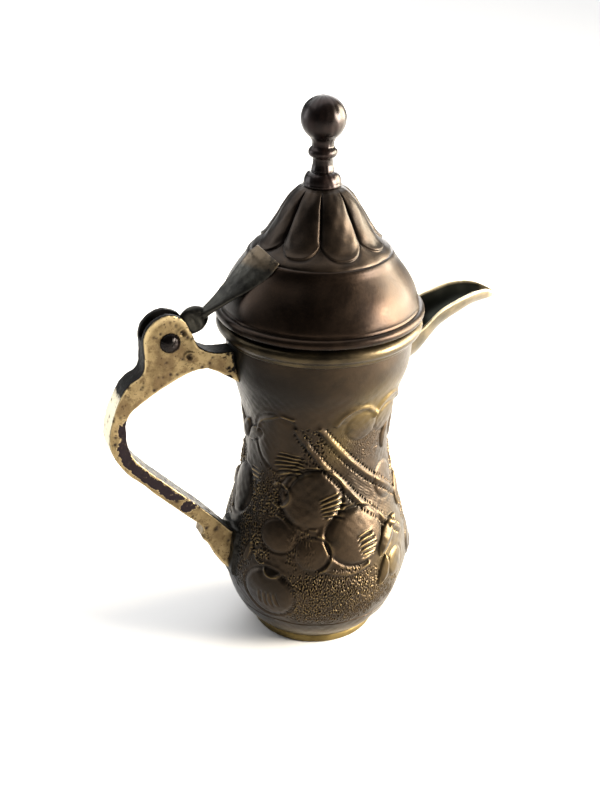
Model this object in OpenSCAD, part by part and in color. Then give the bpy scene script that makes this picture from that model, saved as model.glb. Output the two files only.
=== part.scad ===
// Arabic coffee pot (dallah) with a hinged lid, in millimetres.
// Origin: centre of the flat base on the table. +Z up, +X towards the spout, -X towards the handle.

/* [Body] */
// Outer radius of the base where it stands on the table
foot_r = 23.1; // [22.8:0.1:23.4]
// Height of the base band
foot_h = 3.5; // [3:0.1:4]
// Largest outer radius of the belly
belly_r = 34.8; // [34:0.1:35.5]
// Smallest outer radius of the waist
waist_r = 25.7; // [25:0.1:26.5]
// Outer radius of the neck under the mouth ring
neck_r = 32.8; // [32.4:0.1:33]
// Height of the top of the body shell
neck_h = 118; // [117.5:0.1:118.5]
// Thickness of the sheet metal
wall = 1.2; // [0.8:0.1:1.4]

/* [Mouth ring] */
// Outer radius of the mouth ring's round bead
bead_r = 36; // [35.6:0.1:36.2]
// Height of the ring above the shell
bead_h = 6.5; // [6:0.1:7]
// Inner radius of the mouth
mouth_r = 30; // [29.8:0.1:30.4]

/* [Spout] */
// Thickness of the spout's sheet metal
spout_wall = 1.1; // [0.9:0.1:1.3]
// Half width of the pouring hole through the neck
pour_w = 5.5; // [4.5:0.1:5.8]
// Height of the pouring hole
pour_h = 9.5; // [8:0.1:9.5]

/* [Handle] */
// Thickness of the cast handle
handle_w = 8; // [7.5:0.1:9]
// Width of the slot between the two hinge ears
slot_w = 3.8; // [3.6:0.1:4]
// Radius of the slot's round floor around the pin
slot_r = 6.6; // [6.4:0.1:7]

/* [Hinge] */
// Radius of the pin's shaft
pin_r = 1.5; // [1.3:0.05:1.7]
// Radial running clearance of the strap on the pin
pin_fit = 0.06; // [0.03:0.01:0.1]
// Radius of the pin's domed heads
pin_head_r = 3.6; // [3.2:0.1:3.8]
// Thickness of the strap's tongue between the ears
tongue_w = 3.4; // [3:0.1:3.4]

/* [Lid] */
// Outer radius of the lid's rim
rim_r = 36.5; // [36:0.1:36.8]
// Gap between the closed lid and the mouth ring
lid_gap = 0.4; // [0.3:0.05:0.6]
// Outer radius of the collar that locates the lid in the mouth
collar_r = 29; // [28.6:0.1:29.1]
// Depth of the locating collar below the rim
collar_h = 5.4; // [4:0.1:6]
// Number of petals round the cone
petals = 8; // [6:1:10]
// Height that each petal stands proud of the creases between them
petal_rise = 1.5; // [1:0.1:1.6]

/* [Finial] */
// Radius of the ball on top
ball_r = 7.6; // [7:0.1:8]
// Radius of the lower stem
stem_r = 3.5; // [3.2:0.1:3.7]
// Radius of the ring half way up the stem
stem_bead_r = 4.9; // [4.5:0.1:5.2]

/* [Hidden] */
$fn = 96;
eps = 0.01;

// Heights of the stacked pieces
ring_top = neck_h + bead_h;
lid_z = ring_top + lid_gap;
dome_z = lid_z + 4;
ledge_z = dome_z + 19.3;
cone_top = ledge_z + 22;
cap_top = cone_top + 5.2;
bead_z = cap_top + 6;
ball_z = cap_top + 17;

// Hinge axis: parallel to Y through this point of the XZ plane
pin_x = -55;
pin_z = 122.5;

// Outer outline of the body from the base band to the mouth: radius, height
body_outline = [[foot_r + 0.3, foot_h], [28.3, 9], [32.4, 18], [belly_r - 0.1, 28], [belly_r - 0.2, 34],
                [32.9, 45], [29.3, 57], [26.6, 69], [waist_r, 79], [26.6, 89], [29.2, 99],
                [31.8, 107], [neck_r - 0.2, 113], [neck_r, neck_h]];

// Outer outline of the lid's dome from the rim to the ledge under the cone: radius, height
dome_outline = [[34.4, dome_z], [33.7, dome_z + 3], [32.6, dome_z + 6], [31.1, dome_z + 9],
                [29, dome_z + 12.2], [27, dome_z + 14.8], [25.7, dome_z + 16.7], [25, dome_z + 18.2],
                [24.2, ledge_z]];

// Stations along the spout: distance from the axis, keel height, rim height, half width
spout_stations = [[29, 99, 111, 10.8], [37, 105, 118, 9.9], [43, 112, 122.2, 8.9], [48, 115.5, 124.2, 8.3],
                  [53, 118, 125.9, 7.8], [58, 120.1, 126.7, 6.6], [63, 120.9, 126.4, 4.7],
                  [67, 121.3, 124.8, 2.8], [69.8, 121.8, 123.2, 1.5]];

// Side view of the handle: outer edge from the neck round to the belly, then the inner edge back
handle_outer = [[-29, 116.4], [-36, 116.2], [-41, 117], [-45.5, 120], [-47.2, 124.5], [-50.5, 130.4],
                [-56, 132.4], [-61.6, 129.8], [-64.2, 125], [-64, 118.6], [-65, 112.6], [-70.2, 109],
                [-74.5, 102], [-77, 94], [-77.3, 87], [-73.6, 78.6], [-64.7, 68.4], [-54, 57.6],
                [-45.4, 48.8], [-44.2, 44], [-41.4, 37], [-36.4, 29.8], [-33, 27.6]];
handle_inner = [[-30, 43], [-34.5, 45], [-40.5, 51.6], [-53.2, 64.6], [-64.2, 75.6], [-69.8, 83],
                [-71.6, 91], [-69.8, 98.6], [-61, 104.6], [-50, 109.9], [-42.4, 110.9],
                [-35, 107.2], [-29, 102.6]];

// Side view of the strap's arm: the top edge from the knuckle to the dome, then the underside back
arm_top = [[-44.2, 131], [-41, 131.2], [-37.6, 133.6], [-35, 136.2], [-32.6, 138.8]];
arm_under = [[-30, 138], [-34, 133.8], [-37.4, 130.8], [-40.6, 128.6], [-44.4, 125.4]];
// Plan of the arm and leaf: distance from the axis, half width
leaf_plan = [[-46.5, 1.6], [-42.5, 1.8], [-38, 3.1], [-33, 4.8], [-28, 5.9], [-22.6, 6.3]];
// The leaf lies against the dome from this height up to the ledge, turned a little off the handle's plane
leaf_z = 133;
leaf_skew = 16;
leaf_wall = 1.4;
knuckle = [-46.6, 127.9];
knuckle_r = 5.2;
tongue_r = slot_r - 0.6;
// Angles that the strap sweeps round the pin, with room to spare
sweep_from = -4;
sweep_to = 171;

// Catmull-Rom spline through points of any dimension, n steps to each stretch
function blend_at(a, b, c, d, t) =
    0.5 * (2 * b + (c - a) * t + (2 * a - 5 * b + 4 * c - d) * t * t + (3 * b - a - 3 * c + d) * t * t * t);
function spline(p, n) =
    [for (i = [0 : len(p) - 2], j = [0 : n - 1])
        blend_at(p[max(i - 1, 0)], p[i], p[i + 1], p[min(i + 2, len(p) - 1)], j / n),
     p[len(p) - 1]];
function backwards(p) = [for (i = [len(p) - 1 : -1 : 0]) p[i]];
// Points of an upward outline moved inward by t; both ends move level
function side(p, i) = i == 0 || i == len(p) - 1 ? [0, 1] : p[i + 1] - p[i - 1];
function inset(p, t) =
    [for (i = [0 : len(p) - 1]) p[i] + t * [-side(p, i).y, side(p, i).x] / norm(side(p, i))];
// Triangles that join a row of closed rings of n points each; caps close the two ends
function ring_faces(rings, n) =
    [for (k = [0 : rings - 2], i = [0 : n - 1]) each [
        [k * n + i, (k + 1) * n + i, (k + 1) * n + (i + 1) % n],
        [k * n + i, (k + 1) * n + (i + 1) % n, k * n + (i + 1) % n]]];

body_line = spline(body_outline, 4);
dome_line = spline(dome_outline, 3);

// Section of the mouth ring: a bead on a flat band, and a sleeve that reaches into the neck
ring_bead = 2.4;
sleeve_h = 2.2;
sleeve_fit = 0.1;
module ring_section() {
    intersection() {
        union() {
            translate([bead_r - ring_bead, ring_top - ring_bead]) circle(r = ring_bead);
            translate([mouth_r, neck_h]) square([bead_r - ring_bead - mouth_r, bead_h]);
        }
        translate([0, neck_h]) square([bead_r + 1, bead_h]);
    }
    translate([mouth_r, neck_h - sleeve_h]) square([neck_r - wall - mouth_r - sleeve_fit, sleeve_h + eps]);
}

// Everything inside the outside of the body and the mouth ring, cut from pieces soldered on to them
module body_envelope() {
    rotate_extrude() {
        polygon(concat([[0, foot_h]], body_line, [[0, neck_h]]));
        ring_section();
        translate([0, neck_h]) square([mouth_r + 1, bead_h]);
    }
}

// Flat disc with a standing band round it, and a step that fits inside the shell
base_outline = [[0, 0], [foot_r - 0.4, 0], [foot_r, 0.4], [foot_r - 0.1, 2.4], [foot_r - 0.6, foot_h],
                [foot_r - 1.4, foot_h], [foot_r - 1.4, foot_h + 1.6], [foot_r - 2.4, foot_h + 1.6],
                [foot_r - 2.4, wall], [0, wall]];
module base_plate() {
    color("#b39a4b") rotate_extrude() polygon(base_outline);
}

// The pouring hole's top edge is this far below the top of the shell; its corners are rounded
pour_drop = 2.5;
pour_corner = 2;
module body_shell() {
    color("#5b4d38") difference() {
        rotate_extrude() polygon(concat(body_line, backwards(inset(body_line, wall))));
        translate([mouth_r / 2, 0, neck_h - pour_drop - pour_h / 2])
            rotate([0, 90, 0]) linear_extrude(mouth_r) pour_hole();
    }
}

// Outline of the pouring hole, lying across the neck
module pour_hole() {
    square([pour_h - 2 * pour_corner, 2 * pour_w], center = true);
    square([pour_h, 2 * (pour_w - pour_corner)], center = true);
    for (sx = [-1, 1], sy = [-1, 1]) {
        translate([sx * (pour_h / 2 - pour_corner), sy * (pour_w - pour_corner)])
            circle(r = pour_corner, $fn = 32);
    }
}

module mouth_ring() {
    color("#66573f") rotate_extrude() ring_section();
}

// Half an ellipse that hangs from the rim's height, at distance u along the spout
spout_side = 9;
function half_ellipse(u, w, deep, rim) =
    [for (i = [-spout_side : spout_side]) let (a = 90 * i / spout_side) [u, w * sin(a), rim - deep * cos(a)]];
// One section of the spout: its outside, then back along the inside of the wall
function spout_ring(s) =
    let (u = s[0], keel = s[1], rim = s[2], w = s[3], t = min(spout_wall, 0.6 * w))
    concat(half_ellipse(u, w, rim - keel, rim),
           backwards(half_ellipse(u, w - t, max(rim - keel - t, 0.1), rim)));
module spout() {
    line = spline(spout_stations, 2);
    rings = [for (s = line) spout_ring(s)];
    n = len(rings[0]);
    body = ring_faces(len(rings), n);
    half = n / 2;
    cap = [for (i = [0 : half - 2]) each [[i, i + 1, n - 1 - i], [i + 1, n - 2 - i, n - 1 - i]]];
    last = (len(rings) - 1) * n;
    color("#57492f") difference() {
        polyhedron(points = [for (r = rings) each r],
                   faces = concat(body, cap, [for (f = cap) [last + f[2], last + f[1], last + f[0]]]));
        body_envelope();
    }
}

module handle_plate(w, outline) {
    translate([0, w / 2, 0]) rotate([90, 0, 0]) linear_extrude(w) polygon(outline);
}

// Slotted at the top for the strap's tongue, and bored for the pin
module handle() {
    reach = 30;
    sector = concat([[0, 0]], [for (a = [sweep_from : (sweep_to - sweep_from) / 12 : sweep_to + eps])
        reach * [cos(a), sin(a)]]);
    color("#8f8053") difference() {
        handle_plate(handle_w, concat(spline(handle_outer, 4), spline(handle_inner, 4)));
        body_envelope();
        translate([pin_x, 0, pin_z]) rotate([90, 0, 0]) {
            cylinder(r = pin_r, h = 2 * handle_w, center = true);
            cylinder(r = slot_r, h = slot_w, center = true);
            translate([0, 0, -slot_w / 2]) linear_extrude(slot_w) polygon(sector);
        }
    }
}

// A shaft with a riveted, domed head at each end
module hinge_pin() {
    dome_r = 4.6;
    head = dome_r - sqrt(dome_r * dome_r - pin_head_r * pin_head_r);
    color("#40302c") translate([pin_x, 0, pin_z]) rotate([90, 0, 0]) rotate_extrude() {
        translate([0, -handle_w / 2]) square([pin_r, handle_w]);
        for (s = [-1, 1]) {
            intersection() {
                translate([0, s * (handle_w / 2 + head - dome_r)]) circle(r = dome_r);
                translate([0, s > 0 ? handle_w / 2 : -handle_w / 2 - dome_r]) square([pin_head_r, dome_r]);
            }
        }
    }
}

// Flange of the lid with a round bead, and a low lip that the dome's edge fits over
flange = 1.5;
module lid_rim() {
    bead = 1.75;
    web_r = 32.4;
    step = 0.4;
    lip = 0.8;
    color("#5a4c39") rotate_extrude() {
        translate([collar_r, lid_z]) square([web_r + wall - collar_r, flange]);
        translate([web_r, lid_z + flange - step])
            square([rim_r - bead - web_r, dome_z - lid_z - flange + step]);
        translate([rim_r - bead, dome_z - bead]) circle(r = bead, $fn = 48);
        translate([web_r - lip, lid_z + flange - eps]) square([lip + 0.1, dome_z - lid_z]);
    }
}

// Thin sleeve under the flange that locates the lid in the mouth
module lid_collar() {
    sleeve = 1;
    color("#7a6a45") rotate_extrude() {
        translate([collar_r - sleeve, lid_z - collar_h]) square([sleeve, collar_h + flange]);
    }
}

// Raised dome with an opening under the cone
ledge_hole = 19.5;
module lid_dome() {
    top = [[ledge_hole, ledge_z], [ledge_hole, ledge_z - wall]];
    color("#594b39") rotate_extrude() polygon(concat(dome_line, top, backwards(inset(dome_line, wall))));
}

// The cone of petals: round lobes parted by creases, with scalloped lower ends
cone_steps = 64;
// Crease line of the cone from the ledge to the top: radius, height above the ledge
cone_line = [[23.8, 0], [23.2, 0.8], [22, 1.8], [20.4, 3], [19, 4.2], [17.4, 6.2], [15.7, 8.6], [14, 11.2],
             [12.4, 14], [10.8, 16.6], [9.4, 19], [8.2, 20.7], [7.1, 21.6], [6.4, 22]];
// Inside of the cone, from the hole in its top down to the ledge
cone_inner = [[5, 22], [5, 20.9], [6.5, 20], [8.8, 17.2], [13.2, 9.2], [17.6, 3.4], [20.4, 1.4], [21.4, 0]];
// Each petal's foot stands this high above the ledge, and its corners this much higher still
petal_foot = 1.8;
petal_scallop = 4;
// Distance up the cone over which a petal rises from its foot, and over which it fades at the top
petal_edge = 0.9;
petal_fade = 3;
function ramp(t) = t <= 0 ? 0 : t >= 1 ? 1 : t * t * (3 - 2 * t);
// Place across a petal: 0 along its middle, 1 at the creases
function petal_at(a) = abs(((a * petals / 360 + 0.5) % 1) - 0.5) * 2;
function lobe(a, h) =
    let (p = petal_at(a), foot = petal_foot + petal_scallop * p * p * p, top = cone_top - ledge_z)
    petal_rise * (1 - 0.65 * p * p) * ramp((h - foot) / petal_edge) * ramp((top + 0.2 - h) / petal_fade);
// A ring of points at p (radius, height above the ledge), swelled by the petals on the outside
function cone_ring(p, swell) =
    [for (i = [0 : cone_steps - 1]) let (a = 360 * i / cone_steps, r = p.x + swell * lobe(a, p.y))
        [r * cos(a), r * sin(a), ledge_z + p.y]];
module lid_cone() {
    rings = concat([for (p = cone_line) cone_ring(p, 1)], [for (p = cone_inner) cone_ring(p, 0)]);
    count = len(rings) * cone_steps;
    faces = [for (f = ring_faces(len(rings) + 1, cone_steps)) [for (v = f) v % count]];
    color("#4f4536") polyhedron(points = [for (r = rings) each r], faces = faces);
}

// Domed collar that covers the tops of the petals, with a spigot in the cone's hole
finial_bore = 2;
spigot_r = 5;
spigot_h = 1.4;
module cone_cap() {
    spigot = [[0, cone_top - spigot_h], [spigot_r - eps, cone_top - spigot_h], [spigot_r - eps, cone_top]];
    skirt = [[6.3, cone_top], [6.5, cone_top + 0.5]];
    crown = [for (a = [0 : 15 : 90]) [3.7 + 2.6 * cos(a), cone_top + 0.9 + 3.7 * sin(a)]];
    color("#453a30") difference() {
        rotate_extrude() polygon(concat(spigot, skirt, crown, [[3.7, cap_top], [0, cap_top]]));
        cylinder(r = finial_bore, h = 2 * cap_top);
    }
}

// Turned knob with a ball, a ringed stem and a tail that is riveted under the rove
tail_z = cone_top - 4;
module finial() {
    bead = 1.6;
    rivet_r = 2.9;
    rivet_h = 1;
    color("#42322c") rotate_extrude() {
        intersection() {
            union() {
                translate([0, ball_z]) circle(r = ball_r);
                translate([0, cap_top]) square([stem_r, bead_z - cap_top]);
                translate([0, bead_z]) square([stem_r + 0.3, ball_z - bead_z]);
                translate([stem_bead_r - bead, bead_z]) circle(r = bead, $fn = 48);
                translate([0, tail_z - rivet_h / 2]) square([finial_bore, cap_top - tail_z + rivet_h]);
                translate([0, tail_z - rivet_h]) square([rivet_r, rivet_h]);
            }
            translate([0, tail_z - rivet_h]) square([2 * ball_r, ball_z]);
        }
    }
}

// Washer under the cone that the finial's tail is riveted over
module finial_rove() {
    color("#7a6a45") translate([0, 0, tail_z]) difference() {
        cylinder(r = 4.4, h = 2.6);
        translate([0, 0, -1]) cylinder(r = finial_bore, h = 5);
    }
}

// Everything inside the outside of the lid's dome, grown outward by t
module dome_envelope(t = 0) {
    rotate_extrude() polygon(concat([[0, dome_z]], inset(dome_line, -t), [[0, ledge_z]]));
}

// Arm and leaf of the strap, which widens where it lies against the dome
module strap_leaf() {
    plan = concat(leaf_plan, [for (p = backwards(leaf_plan)) [p.x, -p.y]]);
    intersection() {
        translate([knuckle.x, 0, 0]) rotate([0, 0, leaf_skew]) translate([-knuckle.x, 0, 0])
            linear_extrude(ledge_z) polygon(plan);
        union() {
            handle_plate(4 * handle_w, concat(spline(arm_top, 2), arm_under));
            intersection() {
                dome_envelope(leaf_wall);
                translate([-ledge_z, -ledge_z, leaf_z]) cube(2 * ledge_z);
            }
        }
    }
}

// Tongue on the pin, knuckle, and the leaf that is soldered to the dome
module hinge_strap() {
    color("#3f382d") difference() {
        union() {
            strap_leaf();
            translate([pin_x, 0, pin_z]) rotate([90, 0, 0]) cylinder(r = tongue_r, h = tongue_w, center = true);
            translate([knuckle.x, 0, knuckle.y])
                rotate([90, 0, 0]) cylinder(r = knuckle_r, h = tongue_w, center = true);
        }
        translate([pin_x, 0, pin_z])
            rotate([90, 0, 0]) cylinder(r = pin_r + pin_fit, h = 2 * tongue_w, center = true);
        dome_envelope();
    }
}

base_plate();
body_shell();
mouth_ring();
spout();
handle();
hinge_pin();
lid_rim();
lid_collar();
lid_dome();
lid_cone();
cone_cap();
finial();
finial_rove();
hinge_strap();
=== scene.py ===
# Arabic coffee pot (dallah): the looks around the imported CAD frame. Everything is in metres; MM turns
# millimetres into metres. Angles on the body are degrees from the spout, seen from above.
from contextlib import contextmanager
from math import ceil, cos, degrees, hypot, pi, radians, sin, sqrt

import bmesh
import bpy
import numpy as np
from mathutils import Matrix, Vector


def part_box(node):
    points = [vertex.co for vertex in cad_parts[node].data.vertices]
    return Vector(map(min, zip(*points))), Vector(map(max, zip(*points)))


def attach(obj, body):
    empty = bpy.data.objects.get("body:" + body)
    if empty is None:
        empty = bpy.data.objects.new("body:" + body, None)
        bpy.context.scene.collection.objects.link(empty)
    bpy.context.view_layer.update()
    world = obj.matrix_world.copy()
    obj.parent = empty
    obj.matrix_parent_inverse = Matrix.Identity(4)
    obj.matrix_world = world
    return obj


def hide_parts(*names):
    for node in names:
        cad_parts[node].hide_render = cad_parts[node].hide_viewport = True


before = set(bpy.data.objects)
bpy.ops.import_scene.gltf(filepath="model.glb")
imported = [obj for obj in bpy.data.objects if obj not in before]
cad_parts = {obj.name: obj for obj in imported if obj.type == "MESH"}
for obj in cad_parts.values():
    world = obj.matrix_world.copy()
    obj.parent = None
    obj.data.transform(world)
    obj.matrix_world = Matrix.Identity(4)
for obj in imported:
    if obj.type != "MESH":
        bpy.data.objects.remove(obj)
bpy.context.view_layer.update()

MM = 0.001
POT, LID = "pot", "lid"


# --- the frame's own sizes, in millimetres
def low(node):
    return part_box(node)[0] / MM


def high(node):
    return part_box(node)[1] / MM


FOOT_TOP = low("body_shell").z
NECK_TOP = high("body_shell").z
RING_TOP = high("mouth_ring").z
LID_BOTTOM = low("lid_rim").z
DOME_BOTTOM = low("lid_dome").z
LEDGE = high("lid_dome").z
CONE_TOP = high("lid_cone").z
CAP_TOP = high("cone_cap").z
BALL_TOP = high("finial").z
PIN = (low("hinge_pin") + high("hinge_pin")) / 2


# --- curves and meshes
def spline(points, steps):
    """Catmull-Rom curve through points, with that many steps to each stretch."""
    p = np.asarray(points, float)
    out = []
    for i in range(len(p) - 1):
        a, b, c, d = p[max(i - 1, 0)], p[i], p[i + 1], p[min(i + 2, len(p) - 1)]
        for t in np.arange(steps) / steps:
            out.append(0.5 * (2 * b + (c - a) * t + (2 * a - 5 * b + 4 * c - d) * t * t
                              + (3 * b - a - 3 * c + d) * t ** 3))
    return np.array(out + [p[-1]])


def softened(points, radius, steps=4):
    """The outline with each corner rounded by a short curve that starts and ends radius away from it."""
    p = np.asarray(points, float)
    out = []
    for i in range(len(p)):
        before, after = p[i - 1] - p[i], p[(i + 1) % len(p)] - p[i]
        reach = min(radius, 0.49 * np.linalg.norm(before), 0.49 * np.linalg.norm(after))
        start = p[i] + before / np.linalg.norm(before) * reach
        end = p[i] + after / np.linalg.norm(after) * reach
        for t in np.linspace(0, 1, steps + 1):
            out.append((1 - t) ** 2 * start + 2 * t * (1 - t) * p[i] + t * t * end)
    return np.array(out)


def spaced(points, step, closed=True):
    """The same line with points no further apart than step."""
    p = np.asarray(points, float)
    ends = np.roll(p, -1, 0) if closed else p[1:]
    out = []
    for a, b in zip(p, ends):
        n = max(1, int(ceil(np.linalg.norm(b - a) / step)))
        out.extend(a + (b - a) * t for t in np.arange(n) / n)
    if not closed:
        out.append(p[-1])
    return np.array(out)


def smoothstep(low_edge, high_edge, x):
    t = np.clip((x - low_edge) / (high_edge - low_edge), 0, 1)
    return t * t * (3 - 2 * t)


def bell(x, width):
    """1 where x is 0, falling off on both sides."""
    return np.exp(-(x / width) ** 2)


def ripple(angle, height, seed, size=9.0, waves=14):
    """Smooth seeded unevenness between about -1 and 1, periodic round the axis; height in mm."""
    rng = np.random.default_rng(seed)
    total = np.zeros(np.broadcast(angle, height).shape)
    for _ in range(waves):
        turns = rng.integers(0, max(2, int(200 / size)))
        total += np.sin(turns * angle + rng.uniform(0, 6.28) + height / size * rng.uniform(-6.28, 6.28))
    return total / sqrt(waves)


def linked(name, data):
    obj = bpy.data.objects.new(name, data)
    bpy.context.scene.collection.objects.link(obj)
    return obj


def make_object(name, verts, faces):
    """An object from an array of points in millimetres and an array of quads."""
    mesh = bpy.data.meshes.new(name)
    mesh.vertices.add(len(verts))
    mesh.vertices.foreach_set("co", (np.asarray(verts, float) * MM).ravel())
    mesh.loops.add(faces.size)
    mesh.loops.foreach_set("vertex_index", faces.ravel())
    mesh.polygons.add(len(faces))
    mesh.polygons.foreach_set("loop_start", np.arange(0, faces.size, faces.shape[1]))
    mesh.update(calc_edges=True)
    mesh.polygons.foreach_set("use_smooth", np.full(len(faces), True))
    return linked(name, mesh)


@contextmanager
def edited(obj):
    """The mesh opened for changes by hand."""
    bm = bmesh.new()
    bm.from_mesh(obj.data)
    bm.verts.ensure_lookup_table()
    yield bm
    bm.to_mesh(obj.data)
    bm.free()


def clean(obj):
    """Merges doubled points, drops empty faces and turns all faces outward."""
    with edited(obj) as bm:
        bmesh.ops.remove_doubles(bm, verts=bm.verts, dist=2e-6)
        bmesh.ops.dissolve_degenerate(bm, edges=bm.edges, dist=1e-7)
        bmesh.ops.recalc_face_normals(bm, faces=bm.faces)
    return obj


def grid_faces(rows, cols, wrap_rows, wrap_cols):
    r = np.arange(rows if wrap_rows else rows - 1)
    c = np.arange(cols if wrap_cols else cols - 1)
    rr, cc = np.meshgrid(r, c, indexing="ij")
    r2, c2 = (rr + 1) % rows, (cc + 1) % cols
    return np.stack([rr * cols + cc, rr * cols + c2, r2 * cols + c2, r2 * cols + cc], -1).reshape(-1, 4)


def lathe(name, profile, columns=192, uneven=0.04, seed=1, size=14.0, shape=None):
    """A closed profile (radius, height) turned about the pot's axis, a little uneven as handwork is."""
    p = np.asarray(profile, float)
    angle = np.arange(columns) * 2 * pi / columns
    radius = np.repeat(p[:, :1], columns, 1)
    height = np.repeat(p[:, 1:], columns, 1)
    if shape is not None:
        radius, height = shape(radius, height, angle[None, :])
    bump = uneven * ripple(angle[None, :], height, seed, size)
    radius = np.where(radius > 0.3, radius + bump, radius)
    verts = np.stack([radius * np.cos(angle), radius * np.sin(angle), height + 0.4 * bump], -1).reshape(-1, 3)
    return clean(make_object(name, verts, grid_faces(len(p), columns, True, True)))


def turned(name, profile, soften, step, columns, uneven, seed, size=14.0, steps=4):
    """A lathe piece from the corners of its section, softened and divided evenly."""
    return lathe(name, spaced(softened(profile, soften, steps), step), columns, uneven, seed, size)


def point_values(obj, **values):
    """Stores numbers for each point, which a material reads by name."""
    for name, field in values.items():
        layer = obj.data.attributes.new(name, "FLOAT", "POINT")
        layer.data.foreach_set("value", np.asarray(field, np.float32))


def along_y(obj):
    """Lays a turned piece over, so that its axis is the hinge pin's."""
    co = points_of(obj)
    set_points(obj, np.stack([PIN.x + co[:, 0], -co[:, 2], PIN.z + co[:, 1]], -1))
    return clean(obj)


def points_of(obj):
    co = np.empty(len(obj.data.vertices) * 3)
    obj.data.vertices.foreach_get("co", co)
    return co.reshape(-1, 3) / MM


def set_points(obj, co):
    obj.data.vertices.foreach_set("co", (co * MM).ravel())
    obj.data.update()


def normals_of(obj):
    n = np.empty(len(obj.data.vertices) * 3)
    obj.data.vertices.foreach_get("normal", n)
    return n.reshape(-1, 3)


def place(obj, body, slot, material, *nodes):
    """Puts the finished piece on its body, with its material, in place of CAD nodes."""
    obj.data.materials.clear()
    obj.data.materials.append(material)
    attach(obj, body)
    if nodes:
        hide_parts(*nodes)


# --- the body's relief
BODY_OUTLINE = [(23.4, FOOT_TOP), (28.3, 9), (32.4, 18), (34.7, 28), (34.6, 34), (32.9, 45), (29.3, 57),
                (26.6, 69), (25.7, 79), (26.6, 89), (29.2, 99), (31.8, 107), (32.6, 113), (32.8, NECK_TOP)]


class Relief:
    """Height in mm of the hammered and punched ornament over angle and height on the body.

    All places are an angle, counted from turn degrees, and a height. smooth is 1 on the smooth motifs.
    """

    def __init__(self, angle_deg, z, radius):
        self.a = angle_deg
        self.z = z
        self.r = radius
        self.h = np.zeros(z.shape)
        self.smooth = np.zeros(z.shape)
        self.turn = 0

    def local(self, angle, z, turn=0):
        """Millimetres along and across from a place on the body, turned by so many degrees."""
        da = (self.a - angle - self.turn + 180) % 360 - 180
        x, y = np.radians(da) * self.r, self.z - z
        c, s = cos(radians(turn)), sin(radians(turn))
        return x * c + y * s, -x * s + y * c

    def swell(self, inside, mask, top):
        """Raises the sheet where mask is 1, highest where inside is 1, over whatever was there."""
        level = 1.35 * top * (0.2 + 0.8 * np.clip(inside, 0, 1) ** 0.6)
        self.h = self.h * (1 - mask) + np.maximum(level, 0.6 * self.h + 0.5 * level) * mask
        self.smooth = np.maximum(self.smooth, mask)

    def boss(self, angle, z, wide, tall, top, turn=0, cut=0.3, open_from=400, open_to=400):
        """A smooth domed oval with a soft edge, and a cut line round it except between two directions."""
        x, y = self.local(angle, z, turn)
        q = np.hypot(x / wide, y / tall)
        self.swell(1 - q * q, 1 - smoothstep(0.85, 1.15, q), top)
        way = np.degrees(np.arctan2(y, x)) % 360
        shut = np.where((way > open_from) & (way < open_to), 0.0, 1.0)
        off = (q - 1.08) * (wide + tall) / 2
        self.h += cut * shut * (0.35 * bell(off - 1.1, 0.8) - 0.7 * bell(off, 0.6))

    def leaf(self, angle, z, length, width, top, turn=0, bend=0.0, cut=0.25):
        """A pointed leaf along its own x, bent to one side."""
        x, y = self.local(angle, z, turn)
        y = y - bend * (1 - (x / length) ** 2)
        edge = width * np.clip(1 - (x / length) ** 2, 0, 1) ** 0.7
        inside = edge - np.abs(y)
        near = np.abs(x) < length
        self.swell(inside / width, smoothstep(-0.3, 0.5, inside) * near, top)
        self.h -= 0.7 * cut * bell(inside + 0.3, 0.5) * near

    def line(self, places, wide, top, dots=0.0, pitch=1.5, thin=0.0):
        """A ridge (or, below zero, a groove) along a smooth line through places, with punched dots beside it."""
        route = spline(places, 8)
        best = np.full(self.z.shape, 1e9)
        along = np.zeros(self.z.shape)
        off = np.zeros(self.z.shape)
        start = 0.0
        for (a0, z0), (a1, z1) in zip(route[:-1], route[1:]):
            x, y = self.local(a0, z0)
            mid_r = np.interp((z0 + z1) / 2, self.z[:, 0], self.r[:, 0])
            dx, dy = radians((a1 - a0 + 180) % 360 - 180) * mid_r, z1 - z0
            span = hypot(dx, dy)
            t = np.clip((x * dx + y * dy) / span ** 2, 0, 1)
            away = np.hypot(x - t * dx, y - t * dy)
            near = away < best
            best = np.where(near, away, best)
            along = np.where(near, start + t * span, along)
            off = np.where(near, (y * dx - x * dy) / span, off)
            start += span
        taper = 1 - thin * along / start
        self.h += top * taper * bell(best, wide)
        self.smooth = np.maximum(self.smooth, np.exp(-(best / (1.3 * wide)) ** 4))
        if dots:
            wobble = along + 0.25 * np.sin(along * 1.7)
            beat = np.clip(0.5 + 0.5 * np.cos(2 * pi * wobble / pitch), 0, 1) ** 1.5
            ends = smoothstep(0, 1.5, along) * smoothstep(0, 1.5, start - along)
            for place in (1.55 * wide, -1.75 * wide):
                self.h -= dots * beat * ends * bell(off - place, 0.45) * (best < 3 * wide)

    def arc(self, angle, z, radius_mm, start, end, wide, top):
        """A ridge along part of a circle, from start to end degrees, anticlockwise seen from outside."""
        x, y = self.local(angle, z)
        r = np.hypot(x, y)
        turn = (np.degrees(np.arctan2(y, x)) - start) % 360
        span = (end - start) % 360 or 360
        gap = np.minimum(turn - span, 360 - turn)
        fade = np.where(turn <= span, 1, bell(np.radians(np.clip(gap, 0, 90)) * radius_mm, wide))
        self.h += top * bell(r - radius_mm, wide) * fade

    def strokes(self, angle, z, count, length, gap, turn, deep=0.5, fan=0.0, bend=0.0, wide=0.36):
        """A row of curved chisel strokes side by side, each with a burr thrown up along it."""
        for k in range(count):
            step = k - (count - 1) / 2
            x, y = self.local(angle, z, turn + fan * step)
            y = y - step * gap - bend * (1 - (2 * x / length) ** 2)
            half = length / 2 * (1 - 0.10 * abs(step))
            reach = smoothstep(half + 0.2, half - 1.6, np.abs(x))
            self.h += reach * deep * (0.55 * bell(y - gap / 2.3, wide) - bell(y, wide))
            self.smooth = np.maximum(self.smooth, reach * (np.abs(y) < gap * 0.6))

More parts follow.
